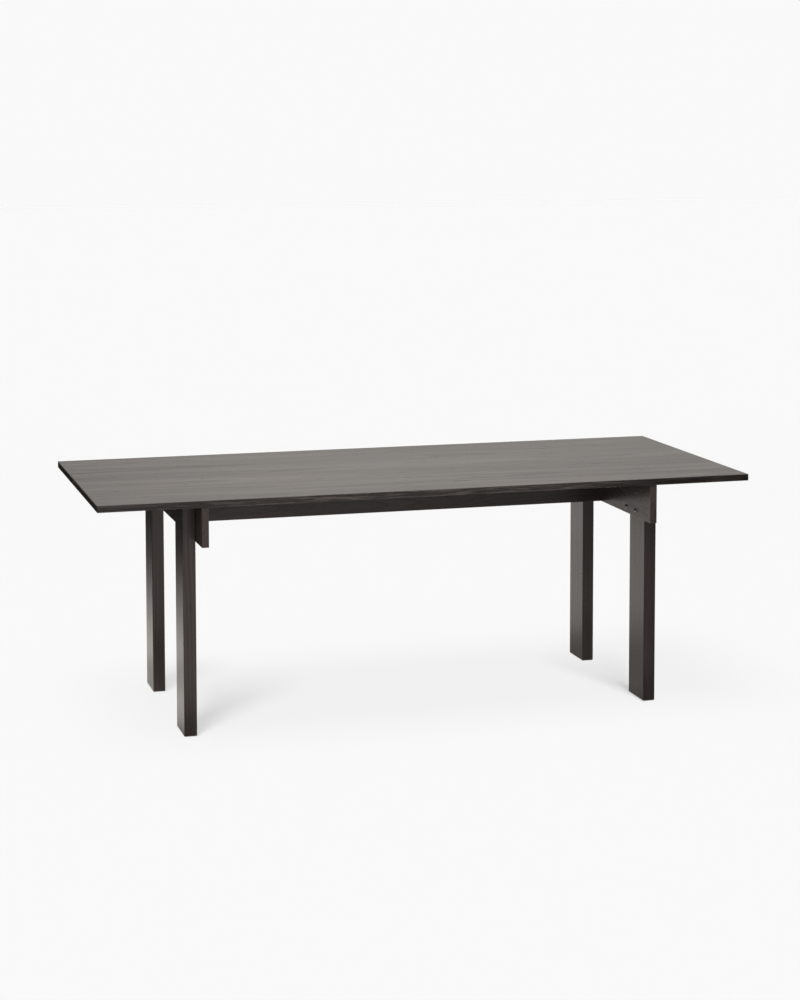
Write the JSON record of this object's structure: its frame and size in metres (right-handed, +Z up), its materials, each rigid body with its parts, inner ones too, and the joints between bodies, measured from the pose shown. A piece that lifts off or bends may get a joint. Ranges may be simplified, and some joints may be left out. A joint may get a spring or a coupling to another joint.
{
  "type": "dining table",
  "caption": "Long dining table in dark-stained oak: a thin overhanging top on cross rails and a central spine rail, with flat legs bolted to the rails' outer faces.",
  "frame": {"origin": "on the floor, under the middle of the top", "axes": "+X along the table, +Y across it from front to back, +Z up"},
  "size_m": [2.1, 0.9, 0.75],
  "materials": {
    "oak_top": "satin",
    "oak_frame": "satin",
    "dark_steel": "satin",
    "zinc_steel": "satin",
    "beech_dowel": "matte",
    "nylon": "matte"
  },
  "bodies": {
    "root": {"table_top": "oak_top", "spine_rail": "oak_frame", "left_cross_rail": "oak_frame", "left_spine_bolts": "dark_steel", "left_spine_barrel_nuts": "zinc_steel", "left_spine_dowels": "beech_dowel", "front_left_leg": "oak_frame", "front_left_leg_bolts": "dark_steel", "front_left_leg_inserts": "zinc_steel", "front_left_foot_glides": "nylon", "back_left_leg": "oak_frame", "back_left_leg_bolts": "dark_steel", "back_left_leg_inserts": "zinc_steel", "back_left_foot_glides": "nylon", "right_cross_rail": "oak_frame", "right_spine_bolts": "dark_steel", "right_spine_barrel_nuts": "zinc_steel", "right_spine_dowels": "beech_dowel", "front_right_leg": "oak_frame", "front_right_leg_bolts": "dark_steel", "front_right_leg_inserts": "zinc_steel", "front_right_foot_glides": "nylon", "back_right_leg": "oak_frame", "back_right_leg_bolts": "dark_steel", "back_right_leg_inserts": "zinc_steel", "back_right_foot_glides": "nylon", "left_rail_brackets": "zinc_steel", "left_rail_bracket_screws": "zinc_steel", "left_rail_top_screws": "zinc_steel", "right_rail_brackets": "zinc_steel", "right_rail_bracket_screws": "zinc_steel", "right_rail_top_screws": "zinc_steel", "spine_brackets": "zinc_steel", "spine_bracket_screws": "zinc_steel", "spine_top_screws": "zinc_steel"}
  },
  "joints": []
}
